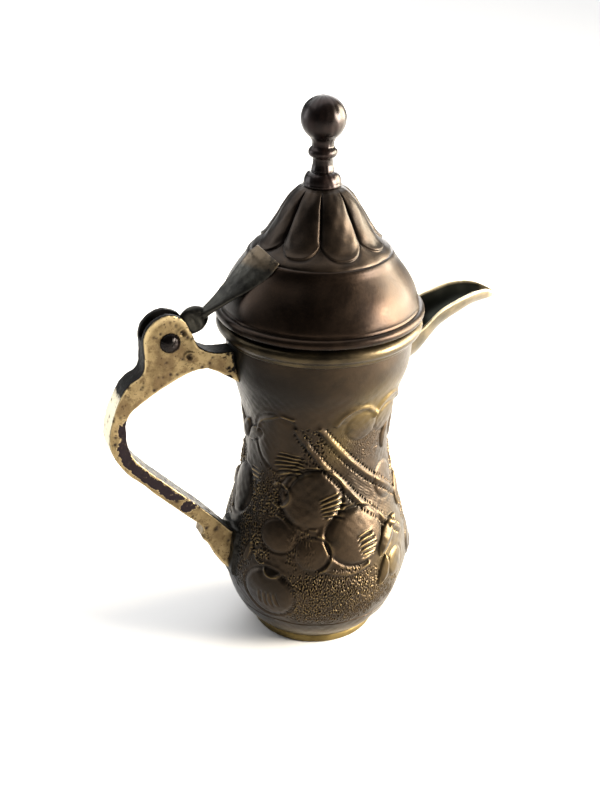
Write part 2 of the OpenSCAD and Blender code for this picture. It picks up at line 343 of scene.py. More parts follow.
    def hatch(self, angle, z, wide, tall, turn, pitch, deep):
        """Fine parallel chasing over an oval patch, uneven in depth."""
        x, y = self.local(angle, z, turn)
        zone = 1 - smoothstep(0.75, 1.05, np.hypot(x / wide, y / tall))
        uneven = 0.6 + 0.4 * np.sin(x * 1.9 + np.sin(y * 1.3) * 2)
        self.h += deep * np.cos(2 * pi * y / pitch + 0.5 * np.sin(x * 0.8)) * uneven * zone * (1 - self.smooth)

    def stipple(self, seed, angle, z, wide, tall, count, w, t, deep, over=0.0):
        """Seeded punch marks inside an oval patch; over lets them run on to the smooth motifs."""
        rng = np.random.default_rng(seed)
        rows, cols = self.z.shape
        step_a = 360 / cols
        zs = self.z[:, 0]
        for _ in range(count):
            across, up = rng.uniform(-1, 1), rng.uniform(-1, 1)
            if abs(across) ** 3 + abs(up) ** 3 > rng.uniform(0.15, 1.15):
                continue
            z0 = z + tall * up
            mid = min(rows - 1, int(np.searchsorted(zs, z0)))
            a0 = angle + self.turn + degrees(wide * across / self.r[mid, 0])
            ww, tt, dd = w * rng.uniform(0.7, 1.35), t * rng.uniform(0.7, 1.35), deep * rng.uniform(0.5, 1.4)
            lean = rng.uniform(-0.35, 0.35)
            r0, r1 = np.searchsorted(zs, [z0 - 2.4 * tt, z0 + 2.4 * tt])
            if r1 - r0 < 2:
                continue
            c0 = int(round((a0 + 180) / step_a))
            allow = max(over, 1 - self.smooth[mid, c0 % cols])
            if allow < 0.3:
                continue
            reach = int(degrees(2.4 * ww / self.r[mid, 0]) / step_a) + 1
            cs = np.arange(c0 - reach, c0 + reach + 1)
            y = (zs[r0:r1] - z0)[:, None]
            x = np.radians(cs * step_a - 180 - a0)[None, :] * self.r[mid, 0] + lean * y
            q = (x / ww) ** 2 + (y / tt) ** 2
            self.h[r0:r1, cs % cols] += allow * dd * (0.35 * bell(np.sqrt(q) - 1.5, 0.5) - np.exp(-q))


def ornament(rel, seed):
    """One broad side of the ornament, as seen left of the spout."""
    # scalloped upper border
    rel.boss(-78, 92, 6.4, 5.6, 0.5, cut=0.1)
    rel.boss(-52, 92, 6.4, 5.6, 0.5, cut=0.1)
    rel.line(((-99, 94.5), (-94, 98), (-86, 100.2), (-77, 100), (-69, 96.6)), 1.0, 0.75)
    rel.line(((-69, 95.4), (-64, 99.4), (-56, 102), (-46, 101), (-38, 97)), 1.0, 0.75)
    # large smooth leaf under the neck, with its raised outline to the left
    rel.boss(-144, 85, 9.6, 10.8, 0.75, turn=-12, cut=0.3)
    rel.line(((-172, 81), (-166, 84.4), (-161, 89), (-157, 92), (-148, 94.6), (-138, 96.6), (-129, 96)), 0.75, 0.6)
    # broad discs
    rel.boss(-141, 27.5, 9.8, 9.6, 1.0, cut=0.4)
    rel.boss(-182, 60, 7.6, 8.8, 0.9, cut=0.4)
    rel.boss(-137, 50.5, 6.8, 5.6, 0.5, cut=0.25)
    rel.boss(-114, 45.5, 6.0, 5.8, 0.7, cut=0.4, open_from=110, open_to=290)
    rel.boss(-116.5, 65, 10.8, 10.0, 1.0, cut=0.55, open_from=270, open_to=330)
    rel.boss(-84, 50.4, 10.9, 9.8, 1.35, cut=0.55, open_from=290, open_to=330)
    rel.boss(-50, 66, 6.2, 6.6, 0.6, cut=0.15)
    # arcs beside the discs
    rel.line(((-140, 57.4), (-132, 56), (-122, 54.6), (-112, 54)), 0.6, 0.4)
    rel.arc(-113, 45.5, 6.6, -65, 75, 0.7, 0.55)
    rel.line(((-106, 39.6), (-99, 38.2), (-91, 37.4), (-84, 37.8), (-77, 39.6)), 0.7, 0.45)
    # small rings
    rel.arc(-139.5, 65, 4.2, -120, 130, 0.6, 0.55)
    rel.arc(-139.5, 65, 2.6, -100, 100, 0.5, -0.3)
    rel.arc(-147, 41.4, 2.4, 0, 300, 0.5, 0.45)
    rel.arc(-155, 41, 3.4, 100, 250, 0.6, 0.5)
    rel.arc(-138, 38.6, 3.6, 200, 330, 0.5, 0.45)
    # leaves and crescents towards the spout
    rel.leaf(-58, 46, 8.4, 3.2, 1.35, turn=44, bend=1.0)
    rel.leaf(-66.5, 34.2, 5.8, 2.5, 1.15, turn=70, bend=-1.2)
    rel.boss(-53, 34, 5.0, 5.6, 0.6, cut=0.2)
    rel.leaf(-47, 83, 5.4, 1.9, 0.7, turn=84, bend=0.6)
    # petals by the handle
    rel.leaf(-167, 84, 5.8, 2.5, 0.9, turn=38, bend=1.0)
    rel.leaf(-181, 84, 5.6, 2.3, 0.9, turn=62, bend=0.8)
    rel.leaf(-157, 41, 4.8, 1.9, 0.8, turn=74, bend=0.6)
    # two ropes wind down towards the spout, with a smooth band between them
    rel.line(((-110, 92.6), (-101, 87), (-90, 80.8), (-80, 76), (-70, 71.6), (-60, 67.6), (-48, 62.8), (-34, 57)),
             1.05, 0.85, dots=0.55, thin=0.35)
    rel.line(((-127, 92), (-120, 86), (-112, 80.8), (-103, 75.8), (-94, 71.4), (-85, 66), (-75, 60.6), (-65, 55.8),
                (-54, 50), (-42, 44)), 1.0, 0.8, dots=0.5, thin=0.2)
    rel.line(((-134, 66), (-130, 70.6), (-122, 74.4), (-112, 75.6), (-101, 75.4)), 0.6, -0.5)
    # feathered chisel strokes
    rel.strokes(-134, 75.8, 6, 13, 1.6, 3, deep=0.36, fan=-4, bend=1.2)
    rel.strokes(-99.5, 61.6, 5, 10.4, 1.8, 7, deep=0.6, fan=6, bend=0.5, wide=0.42)
    rel.strokes(-77.5, 46.2, 5, 8.8, 1.9, 6, deep=0.6, fan=3, bend=0.6, wide=0.42)
    rel.strokes(-139, 25.6, 4, 7.6, 2.2, 94, deep=0.35, fan=-6, bend=0.6)
    rel.strokes(-166, 68.6, 3, 6.8, 1.6, 2, deep=0.4)
    # fine chasing
    rel.hatch(-88, 73, 17, 4.6, -40, 0.95, 0.035)
    rel.hatch(-88, 73, 17, 4.6, 35, 0.95, 0.03)
    rel.hatch(-72, 85, 15, 9, 32, 1.0, 0.045)
    rel.hatch(-60, 60, 12, 5, -38, 0.95, 0.03)
    # punched grounds
    rel.stipple(seed, -153, 56, 10, 18, 1200, 0.34, 0.34, 0.34)
    rel.stipple(seed + 1, -121, 46.5, 5.6, 7.5, 240, 0.24, 0.62, 0.22, over=0.5)
    rel.stipple(seed + 2, -116, 85, 6.5, 8, 170, 0.4, 0.4, 0.3)
    rel.stipple(seed + 3, -101, 27.5, 21, 12.5, 4200, 0.24, 0.45, 0.25)
    rel.stipple(seed + 4, -64, 25, 9, 7, 500, 0.25, 0.4, 0.16)
    rel.stipple(seed + 5, -74, 85, 14, 9, 1100, 0.24, 0.24, 0.12)
    rel.stipple(seed + 6, -166, 36, 6.5, 13, 420, 0.3, 0.42, 0.22)
    rel.stipple(seed + 7, -128, 82, 7, 8, 110, 0.36, 0.36, 0.22)


def side_column(rel, seed):
    """The narrow column of ornament between two of the broad sides."""
    rel.boss(0, 84, 6.2, 7.4, 0.8)
    rel.boss(2, 33, 8.0, 8.4, 1.0)
    rel.leaf(-9, 57, 6.4, 2.5, 0.95, turn=58, bend=0.9)
    rel.leaf(8, 56, 6.4, 2.5, 0.95, turn=122, bend=-0.9)
    rel.arc(0, 70, 4.0, 0, 359, 0.55, 0.65)
    rel.strokes(2, 32, 4, 7.4, 1.9, 92, fan=-6, bend=0.6)
    rel.strokes(0, 45, 4, 7.6, 1.7, 4, fan=4, bend=0.6)
    rel.stipple(seed, 0, 55, 8, 24, 1300, 0.3, 0.38, 0.3)


def solder_pad(angle, z, radius):
    """1 where the handle's lower end is soldered on, with a ragged edge; and how far the body is darkened round the
    handle's lower and upper ends: painted shade where the handle meets the body, together with dark solder residue.
    """
    x = np.abs(np.radians((angle - 180 + 180) % 360 - 180) * radius)
    ragged = 0.3 * ripple(np.radians(angle), z, 14, 4.0, 20)
    off = np.hypot(np.clip(x - 5.6, 0, 99), np.clip(np.abs(z - 36.5) - 8, 0, 99)) + ragged
    neck = np.hypot(np.clip(x - 3, 0, 99), 0.8 * np.clip(np.abs(z - 110) - 5, 0, 99)) + 2 * ragged
    stain = np.maximum(1 - smoothstep(2, 5.5, off), 0.9 - 0.9 * smoothstep(4, 12, neck))
    return 1 - smoothstep(0.8, 2.0, off), stain


POUR_LOW, POUR_HIGH, POUR_ANGLE = 106.0, 115.5, 9.0
COLUMNS = 1080
WALL = 1.2
# where the body gets a painted highlight (above zero) or painted shade (below): angle, height, reach in degrees and mm,
# amount
WORN = ((-62, 100, 30, 9, 1), (-50, 38, 24, 18, 0.7), (-98, 86, 16, 10, 0.6),
        (-142, 107, 34, 9, -1), (-172, 66, 26, 44, -0.9), (-122, 88, 14, 8, -0.5))


def hole_rows(heights):
    """The rows of points that lie beside the pouring hole."""
    return np.where((heights >= POUR_LOW - 1e-6) & (heights <= POUR_HIGH + 1e-6))[0]


def body_relief(angle_deg, height, radius):
    """Relief in mm over the body, and how far it is darkened round the handle's ends (painted shade with solder
    residue).
    """
    rel = Relief(angle_deg, height, radius)
    for pattern, rel.turn, seed in ((ornament, 0, 100), (ornament, 180, 200),
                                    (side_column, -20, 300), (side_column, 160, 400)):
        pattern(rel, seed)
    a = np.radians(angle_deg)
    rel.h += 0.12 * ripple(a, height, 11, 12.0) + 0.03 * ripple(a, height, 12, 3.0, 24)
    solder, stain = solder_pad(angle_deg, height, radius)
    rel.h = rel.h * (1 - solder) + solder * (1.15 + 0.1 * ripple(a, height, 13, 5.0, 20))
    fade = 1 - smoothstep(101, 108, height) * 0.6
    return rel.h * (smoothstep(FOOT_TOP, 9, height) * fade * (1 - smoothstep(113, NECK_TOP, height))), stain


def body_mesh(outer, inner, rows, inner_rows, hole):
    """The shell from its two grids of points, with rims at foot and mouth and an open pouring hole."""
    shift = len(rows) * COLUMNS

    def wall(heights):
        f = grid_faces(len(heights), COLUMNS, False, True).reshape(-1, COLUMNS, 4)
        keep = np.ones(f.shape[:2], bool)
        keep[np.ix_(hole_rows(heights)[:-1], hole[:-1])] = False
        return f[keep]

    c = np.arange(COLUMNS)
    c2 = (c + 1) % COLUMNS
    top_o, top_i = shift - COLUMNS, shift + (len(inner_rows) - 1) * COLUMNS
    quads = [wall(rows), wall(inner_rows)[:, ::-1] + shift, np.stack([c2, c, shift + c, shift + c2], -1),
             np.stack([top_o + c, top_o + c2, top_i + c2, top_i + c], -1)]
    # the hole's sill and lintel
    for end, way in ((0, 1), (-1, -1)):
        o = hole_rows(rows)[end] * COLUMNS + hole[:-1]
        i = shift + hole_rows(inner_rows)[end] * COLUMNS + hole[:-1]
        quads.append(np.stack([o, o + 1, i + 1, i], -1)[:, ::way])
    obj = make_object("Body", np.concatenate([outer.reshape(-1, 3), inner.reshape(-1, 3)]), np.concatenate(quads))
    # its two jambs are many-sided, so they are added on their own
    with edited(obj) as bm:
        for col, way in ((hole[0], 1), (hole[-1], -1)):
            ring = [bm.verts[int(k * COLUMNS + col)] for k in hole_rows(rows)]
            ring += [bm.verts[int(shift + k * COLUMNS + col)] for k in hole_rows(inner_rows)[::-1]]
            bm.faces.new(ring[::way])
    return obj


def blurred(field, times):
    for _ in range(times):
        field = (field + np.roll(field, 1, 1) + np.roll(field, -1, 1)
                 + np.vstack([field[:1], field[:-1]]) + np.vstack([field[1:], field[-1:]])) / 5
    return field


def make_body():
    """Raised sheet body with its relief, an inner face and the pouring hole under the ring."""
    outline = spline(BODY_OUTLINE, 12)
    outline = outline[np.argsort(outline[:, 1])]
    # rows of points are close together over the ornament
    rows = np.unique(np.concatenate([np.arange(FOOT_TOP, 14, 0.7), np.arange(14, 104, 0.26),
                                     np.arange(104, NECK_TOP, 0.6), [POUR_LOW, POUR_HIGH, NECK_TOP]]))
    radius = np.interp(rows, outline[:, 1], outline[:, 0])
    angle_deg = -180 + np.arange(COLUMNS) * 360 / COLUMNS
    A, Z = np.meshgrid(angle_deg, rows)
    R = np.repeat(radius[:, None], COLUMNS, 1)
    height, stain = body_relief(A, Z, R)
    slope = np.gradient(radius, rows)
    out_r = 1 / np.hypot(1, slope)
    out_z = -slope * out_r
    r = R + height * out_r[:, None]
    z = Z + height * out_z[:, None] * smoothstep(FOOT_TOP, 8, Z) * (1 - smoothstep(110, NECK_TOP, Z))
    a = np.radians(A)
    outer = np.stack([r * np.cos(a), r * np.sin(a), z], -1)
    # the inside is plain, with only a few rows
    levels = [POUR_LOW, POUR_HIGH, NECK_TOP]
    inner_rows = np.unique(np.concatenate([np.arange(FOOT_TOP, NECK_TOP, 3.0), levels]))
    inner_rows = inner_rows[np.concatenate([[True], np.diff(inner_rows) > 0.3])]
    inner_rows = np.unique(np.concatenate([inner_rows, levels]))
    ri = np.interp(inner_rows, rows, radius - WALL * np.hypot(1, slope))
    Ai, Zi = np.meshgrid(a[0], inner_rows)
    inner = np.stack([ri[:, None] * np.cos(Ai), ri[:, None] * np.sin(Ai), Zi], -1)
    obj = body_mesh(outer, inner, rows, inner_rows, np.where(np.abs(angle_deg) <= POUR_ANGLE + 1e-6)[0])
    # numbers for the material: crests and hollows at two sizes, the darkening round the handle's ends (painted shade
    # with solder residue), the painted highlight and shade, and the inside
    soft = blurred(height, 8)
    rubbed = np.zeros_like(Z)
    for angle, level, wide, tall, much in WORN:
        for turn in (0, 180):
            off = (A - angle - turn + 180) % 360 - 180
            rubbed += much * np.exp(-(off / wide) ** 2 - ((Z - level) / tall) ** 2)
    outside = {"fine": np.clip((height - soft) * 3.0, -1, 1), "solder": stain, "rubbed": np.clip(rubbed, -1, 1),
               "broad": np.clip((soft - blurred(height, 90)) * 1.6, -1, 1), "inside": np.zeros_like(Z)}
    for name, field in outside.items():
        plain = np.full(len(inner_rows) * COLUMNS, float(name == "inside"))
        point_values(obj, **{name: np.concatenate([field.ravel(), plain])})
    return obj


# --- turned and raised pieces
def make_base():
    r = high("base_plate").x
    p = [(0, 0.15), (r - 6, 0.0), (r - 0.5, 0), (r, 0.7), (r - 0.05, 2.2), (r - 0.45, FOOT_TOP), (r - 1.4, FOOT_TOP),
         (r - 1.4, FOOT_TOP + 1.6), (r - 2.4, FOOT_TOP + 1.6), (r - 2.4, 1.2), (0, 1.2)]
    return turned("Base", p, 0.35, 0.5, 240, 0.05, 21)


def bead_points(centre_r, centre_z, radius, start, end, steps=14):
    """Points of a round bead's section, from start to end degrees."""
    turn = np.radians(np.linspace(start, end, steps))
    return [(centre_r + radius * cos(t), centre_z + radius * sin(t)) for t in turn]


def make_mouth_ring():
    r, bead = high("mouth_ring").x, 2.4
    c = r - bead
    top = RING_TOP
    p = [(30.0, top - 0.3), (30.0, NECK_TOP), (30.3, NECK_TOP - 2.1), (31.4, NECK_TOP - 2.1), (31.4, NECK_TOP)]
    p += [(33.0, NECK_TOP - 0.1), (33.55, NECK_TOP + 0.35), (33.6, NECK_TOP + 1.1), (33.9, NECK_TOP + 1.7)]
    p += bead_points(c, top - bead, bead, -62, 84)
    p += [(c - 1.2, top), (30.8, top), (30.3, top - 0.05)]
    return turned("MouthRing", p, 0.25, 0.45, 320, 0.07, 22, 18, steps=3)


def make_lid_rim():
    r, bead, web = high("lid_rim").x, 1.75, 32.4
    z = LID_BOTTOM
    c = r - bead
    p = [(29.0, z), (web + 1.2, z), (web + 1.3, z + 0.7), (c - 0.7, z + 0.75)]
    p += bead_points(c, DOME_BOTTOM - bead, bead, -112, 80)
    p += [(c - 0.4, DOME_BOTTOM - 0.1), (33.0, DOME_BOTTOM - 0.1), (32.5, z + 5.5), (31.6, z + 5.5), (31.6, z + 1.5),
          (29.0, z + 1.5)]
    return turned("LidRim", p, 0.2, 0.45, 320, 0.07, 23, 18, steps=3)


def make_lid_collar():
    z0, z1, r = low("lid_collar").z, high("lid_collar").z, high("lid_collar").x
    p = [(r - 1, z0), (r - 0.15, z0), (r, z0 + 0.5), (r, z1), (r - 1, z1)]
    return turned("LidCollar", p, 0.2, 0.6, 240, 0.03, 24, steps=3)


DOME_LINE = [(34.5, 0.0), (34.15, 0.7), (34.15, 1.5), (33.8, 3), (32.8, 6), (31.3, 9), (29.3, 12), (27.5, 14.4),
             (26.3, 16.1), (25.6, 17.4), (25.1, 18.4), (24.5, 19.1), (23.6, 19.35)]


def make_lid_dome():
    """Raised dome: a groove above the rim, a full shoulder, a soft step under the petals."""
    outer = spline(DOME_LINE, 6)
    inner = outer[::-1] - [1.2, 0.0]
    inner = inner[(inner[:, 0] < 33.0) & (inner[:, 1] < 18.0)]
    p = np.concatenate([outer, [(19.5, 19.3), (19.5, 18.2)], inner]) + [0, DOME_BOTTOM]
    return lathe("LidDome", spaced(p, 0.55), 384, 0.11, 25, 11)


PETALS = 8
CREASE = [(23.9, -0.1), (23.5, 0.7), (22.5, 1.7), (20.9, 2.9), (19.2, 4.3), (17.5, 6.2), (15.8, 8.6), (14.1, 11.2),
          (12.5, 14), (10.9, 16.6), (9.5, 19), (8.3, 20.6), (7.2, 21.5), (6.4, 21.9)]


def petal_place(angle):
    """0 along the middle of a petal, 1 at the creases."""
    return np.clip(np.abs(((angle * PETALS / (2 * pi) + 0.5) % 1) - 0.5) * 2, 0, 1)


def make_lid_cone():
    """Eight rounded petals with scalloped feet, creased between them, drawn in under the cap."""
    outer = spaced(spline(CREASE, 8), 0.3, closed=False)
    inner = np.array([(5, 21.9), (5, 20.9), (6.5, 20), (8.8, 17.2), (13.2, 9.2), (17.6, 3.4),
                      (20.4, 1.4), (21.6, -0.1)])
    profile = np.concatenate([outer, inner])
    is_outer = (np.arange(len(profile)) < len(outer))[:, None]

    def petals(radius, height, angle):
        p = petal_place(angle + 0.02 * np.sin(3 * angle + 1))
        round_over = np.clip(1 - p ** 2.4, 0, 1) ** 0.6
        foot = 2.1 + 3.9 * p ** 2.6 + 0.15 * np.sin(5 * angle)
        shown = smoothstep(0, 1.0, height - foot)
        top = 1 - smoothstep(16.5, 21.9, height)
        rise = (0.15 + 1.4 * round_over) * (0.25 + 0.75 * top)
        rise *= (0.62 + 0.38 * smoothstep(foot + 0.5, foot + 5, height))
        roll = 0.12 * bell(height - foot - 1.0, 0.7) * (1 - p ** 4)
        undercut = -0.22 * bell(height - foot + 0.15, 0.4)
        groove = -0.35 * bell(1 - p, 0.08) * smoothstep(5, 8, height) * (1 - smoothstep(20, 21.5, height))
        radius = radius + is_outer * (rise * shown * (1 - smoothstep(21.0, 21.9, height)) + roll + groove + undercut)
        return radius, height

    obj = lathe("LidCone", profile, 640, 0.06, 26, 7, petals)
    co = points_of(obj)
    h = co[:, 2].copy()
    co[:, 2] += LEDGE
    set_points(obj, co)
    angle = np.arctan2(co[:, 1], co[:, 0])
    p = petal_place(angle)
    foot = 2.1 + 3.9 * p ** 2.6
    gap = bell(h - foot + 0.1, 0.5)
    point_values(obj, crest=np.clip(1 - 2 * smoothstep(0.75, 1.0, p) * smoothstep(3.5, 6, h) - 1.6 * gap, -1, 1))
    return obj


def make_cone_cap():
    r = 6.4
    z = CONE_TOP
    p = [(2.2, z - 1.4), (4.9, z - 1.4), (4.9, z - 0.05), (r - 0.2, z - 0.05), (r + 0.1, z + 0.25), (r + 0.05, z + 0.8)]
    p += [(3.75 + 2.6 * cos(t), z + 1.0 + 3.7 * sin(t)) for t in np.radians(np.arange(0, 91, 9))]
    p += [(3.6, CAP_TOP), (2.2, CAP_TOP)]
    return turned("ConeCap", p, 0.15, 0.35, 160, 0.035, 27, 8, steps=2)


def make_finial():
    """Turned knob: stem, ring, necked ball, and a tail riveted inside the cone."""
    ball = 7.6
    centre = BALL_TOP - ball
    bead = CAP_TOP + 6.0
    tail = CONE_TOP - 4
    p = [(0, tail - 1), (2.4, tail - 1), (2.9, tail - 0.6), (2.9, tail), (2.0, tail), (2.0, CAP_TOP - 0.4)]
    p += [(3.9, CAP_TOP - 0.2), (3.75, CAP_TOP + 0.5), (3.45, CAP_TOP + 1.8), (3.4, bead - 2.4), (3.6, bead - 1.8)]
    p += [(4.3, bead - 1.5), (4.85, bead - 0.7), (4.95, bead + 0.1), (4.7, bead + 0.9), (4.1, bead + 1.5)]
    p += [(3.7, bead + 1.9), (3.7, bead + 3.2), (4.0, bead + 4.0)]
    p += [(ball * sin(t), centre - ball * cos(t)) for t in np.radians(np.arange(37, 177, 6))]
    p += [(0, BALL_TOP)]
    return turned("Finial", p, 0.35, 0.4, 160, 0.03, 28, 9, steps=3)


def make_rove():
    z = low("finial_rove").z
    p = [(2.0, z), (4.1, z), (4.4, z + 0.4), (4.3, z + 2.4), (2.0, z + 2.6)]
    return turned("FinialRove", p, 0.25, 0.5, 64, 0.05, 29, steps=3)


def make_pin():
    """Pin along Y with a riveted head at each end, each a little out of round."""
    half = 4.0
    head, shaft = 3.6, 1.5
    p = [(0, -half - 2.35), (1.3, -half - 2.2), (2.6, -half - 1.6), (head - 0.1, -half - 0.5), (head, -half),
         (shaft, -half + 0.02), (shaft, half - 0.02), (head, half), (head - 0.1, half + 0.5), (2.6, half + 1.6),
         (1.3, half + 2.2), (0, half + 2.35)]
    return along_y(turned("HingePin", p, 0.5, 0.25, 96, 0.05, 30, 5))


# --- cast and forged pieces
def rounded(obj, voxel_mm):
    """Remeshes the piece into even small faces with its sharp edges worn round."""
    mod = obj.modifiers.new("remesh", "REMESH")
    mod.mode = "VOXEL"
    mod.voxel_size = voxel_mm * MM
    mod = obj.modifiers.new("smooth", "SMOOTH")
    mod.factor = 0.5
    mod.iterations = 3
    deps = bpy.context.evaluated_depsgraph_get()
    deps.update()
    old = obj.data
    mesh = bpy.data.meshes.new_from_object(obj.evaluated_get(deps))
    obj.modifiers.clear()
    obj.data = mesh
    mesh.name = old.name
    bpy.data.meshes.remove(old)
    mesh.polygons.foreach_set("use_smooth", np.full(len(mesh.polygons), True))


def copied(name, node):
    """A new object with a copy of a CAD node's mesh, without its stored layers."""
    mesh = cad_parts[node].data.copy()
    mesh.name = name
    for key in list(mesh.attributes.keys()):
        layer = mesh.attributes[key]
        if not layer.is_required and not layer.is_internal:
            mesh.attributes.remove(layer)
    return linked(name, mesh)


def lumps(co, seed, size, waves=18):
    """Smooth seeded unevenness over space; size in mm."""
    rng = np.random.default_rng(seed)
    total = np.zeros(len(co))
    for _ in range(waves):
        way = rng.normal(size=3)
        way *= 6.28 / size / np.linalg.norm(way) * rng.uniform(0.5, 1.4)
        total += np.sin(co @ way + rng.uniform(0, 6.28))
    return total / sqrt(waves)


def pits(co, seed, count, low_mm, high_mm, deep):
    """Seeded casting pits: how far each point is sunk, and a mask that is 1 in a pit."""
    rng = np.random.default_rng(seed)
    sunk = np.zeros(len(co))
    picks = co[rng.integers(0, len(co), count)]
    for centre in picks:
        r = rng.uniform(low_mm, high_mm)
        d2 = ((co - centre) ** 2).sum(1)
        sunk = np.maximum(sunk, np.exp(-d2 / r ** 2) * rng.uniform(0.5, 1))
    return sunk * deep, np.clip(sunk * 1.4, 0, 1)


HANDLE_OUTER = [(-29, 116.4), (-36, 116.2), (-41, 117), (-45.5, 120), (-47.2, 124.5), (-50.5, 130.4), (-56, 132.4),
                (-61.6, 129.8), (-64.2, 125), (-64, 118.6), (-65, 112.6), (-70.2, 109), (-74.5, 102), (-77, 94),
                (-77.3, 87), (-73.6, 78.6), (-64.7, 68.4), (-54, 57.6), (-45.4, 48.8), (-44.2, 44), (-41.4, 37),
                (-36.4, 29.8), (-33, 27.6)]
HANDLE_INNER = [(-30, 43), (-34.5, 45), (-40.5, 51.6), (-53.2, 64.6), (-64.2, 75.6), (-69.8, 83), (-71.6, 91),
                (-69.8, 98.6), (-61, 104.6), (-50, 109.9), (-42.4, 110.9), (-35, 107.2), (-29, 102.6)]


def nearest(co, line):
    """Distance in the XZ plane from each point to a smooth line."""
    route = spline(line, 4)
    x, z = co[:, 0], co[:, 2]
    best = np.full(len(co), 1e9)
    for (x0, z0), (x1, z1) in zip(route[:-1], route[1:]):
        dx, dz = x1 - x0, z1 - z0
        t = np.clip(((x - x0) * dx + (z - z0) * dz) / (dx * dx + dz * dz), 0, 1)
        best = np.minimum(best, np.hypot(x - x0 - t * dx, z - z0 - t * dz))
    return best


def spot(co, x, z, radius):
    """1 at a place on the handle's side, fading out over radius."""
    return np.exp(-((co[:, 0] - x) ** 2 + (co[:, 2] - z) ** 2) / radius ** 2)


def make_handle():
    """Cast handle: the grip swells at the back, the faces are pitted and the edges worn round."""
    obj = copied("Handle", "handle")
    rounded(obj, 0.33)
    co = points_of(obj)
    to_outer, to_inner = nearest(co, HANDLE_OUTER), nearest(co, HANDLE_INNER)
    across = (to_outer - to_inner) / (to_outer + to_inner + 1e-6)
    back = bell(co[:, 2] - 90, 17) * smoothstep(-56, -72, co[:, 0])
    co[:, 1] *= 1 + 0.26 * back
    # a small scroll turns out of the lower end
    curl = np.exp(-((co[:, 0] + 45.2) ** 2 + (co[:, 2] - 44.6) ** 2) / 2.6 ** 2)
    co[:, 0] -= 1.5 * curl
    set_points(obj, co)
    n = normals_of(obj)
    side = np.abs(n[:, 1])
    deep, mask = pits(co, 41, 300, 0.25, 0.6, 0.22)
    big_deep, big_mask = pits(co, 42, 10, 0.6, 0.9, 0.3)
    ringed = np.zeros(len(co))
    for x, z in ((-50.6, 125.4), (-48.6, 116.6), (-45.4, 45.0)):
        d = np.hypot(co[:, 0] - x, co[:, 2] - z)
        ringed += 0.75 * bell(d, 0.75) - 0.35 * bell(d - 1.5, 0.5)
    clear = 1 - spot(co, PIN.x, PIN.z, 4.4)
    move = 0.11 * lumps(co, 43, 12) + 0.035 * lumps(co, 44, 3.5) - deep - big_deep - ringed * side
    in_slot = (np.abs(co[:, 1]) < 2.3) & (co[:, 2] > 113)
    move = np.where(in_slot, np.minimum(move, 0) * 0.2, move * (0.3 + 0.7 * clear))
    set_points(obj, co + n * move[:, None])
    z = co[:, 2]
    # dark skin left by casting on the lower arm: by the inner edge at the bend, then down the middle
    centre = 0.6 * smoothstep(80, 93, z) + 0.14
    stain = (1 - smoothstep(0.35, 1.15, np.abs(across - centre))) * smoothstep(60, 63, z) * (1 - smoothstep(94, 100, z))
    stain = np.maximum(stain, (1 - smoothstep(0.5, 1.3, np.hypot((co[:, 0] + 50.4) / 3.8, (z - 58.6) / 2.6))))
    top = smoothstep(102, 108, z)
    rim = 1 - smoothstep(0.35, 0.75, side)
    # painted shade: near black in the pin slot, along the top edges and by the body at the top
    dirt = np.maximum(np.where(in_slot, 1.0, 0), rim * top)
    dirt = np.maximum(dirt, 0.5 * smoothstep(-41, -34, co[:, 0]) * top)
    # painted highlight along the outer back edge of the grip; painted shade on the inner edge below the ear
    pale = rim * smoothstep(-0.5, -0.85, across) * smoothstep(72, 88, z) * (1 - top)
    dull = rim * smoothstep(0.5, 0.85, across) * (1 - top)
    pit = np.clip(np.maximum(mask, big_mask) + np.clip(ringed, 0, 1) * side, 0, 1)
    point_values(obj, side=side, across=across, stain=stain, dirt=dirt, pale=pale, dull=dull, pit=pit)
    return obj


# The strap's middle line from the knuckle over the dome: angle about the axis, radius, height, half width, thickness
LEAF = [(180, 46.6, 127.6, 1.5, 3.6), (180.4, 43.4, 129.0, 1.6, 3.0), (181, 40.2, 131.4, 2.2, 2.5),
        (182.5, 37.0, 134.4, 3.2, 2.1), (184.5, 34.0, 137.6, 4.2, 1.9), (187, 31.3, 140.6, 5.0, 1.7),
        (190.5, 29.0, 143.6, 5.6, 1.5), (194.5, 27.3, 146.4, 6.0, 1.4), (198, 25.9, 148.8, 6.2, 1.3),
        (200, 23.6, 151.2, 6.0, 1.2)]


def make_leaf():
    """The strap's leaf: a thin tapering blade bent to the dome, blunt where it runs under a petal."""
    line = spline(LEAF, 8)
    count, wide = len(line), 20
    a = np.radians(line[:, 0])
    centre = np.stack([line[:, 1] * np.cos(a), line[:, 1] * np.sin(a), line[:, 2]], -1)
    way = np.gradient(centre, axis=0)
    way /= np.linalg.norm(way, axis=1)[:, None]
    rings = []
    for i in range(count):
        radial = np.array([cos(a[i]), sin(a[i]), 0.0])
        across = np.cross(radial, way[i])
        across /= np.linalg.norm(across)
        up = np.cross(way[i], across)
        up *= np.sign(up[2] + up @ radial)
        half, thick = line[i, 3], line[i, 4]
        left = (count - 1 - i) / 4
        half *= sqrt(min(1, left * (2 - left) + 0.45)) if left < 1 else 1
        ring = []
        for k in range(wide):
            t = 2 * pi * k / wide
            x = np.sign(cos(t)) * abs(cos(t)) ** 0.5
            y = np.sign(sin(t)) * abs(sin(t)) ** 0.7
            sag = (x * half) ** 2 / (2 * line[i, 1]) * smoothstep(40, 33, line[i, 1])
            ring.append(centre[i] + across * x * half + up * (y * thick / 2 + 0.25) - radial * sag)
        rings.append(ring)
    obj = make_object("Leaf", np.array(rings).reshape(-1, 3), grid_faces(count, wide, False, True))
    with edited(obj) as bm:
        bmesh.ops.holes_fill(bm, edges=[e for e in bm.edges if e.is_boundary], sides=0)
    return clean(obj)


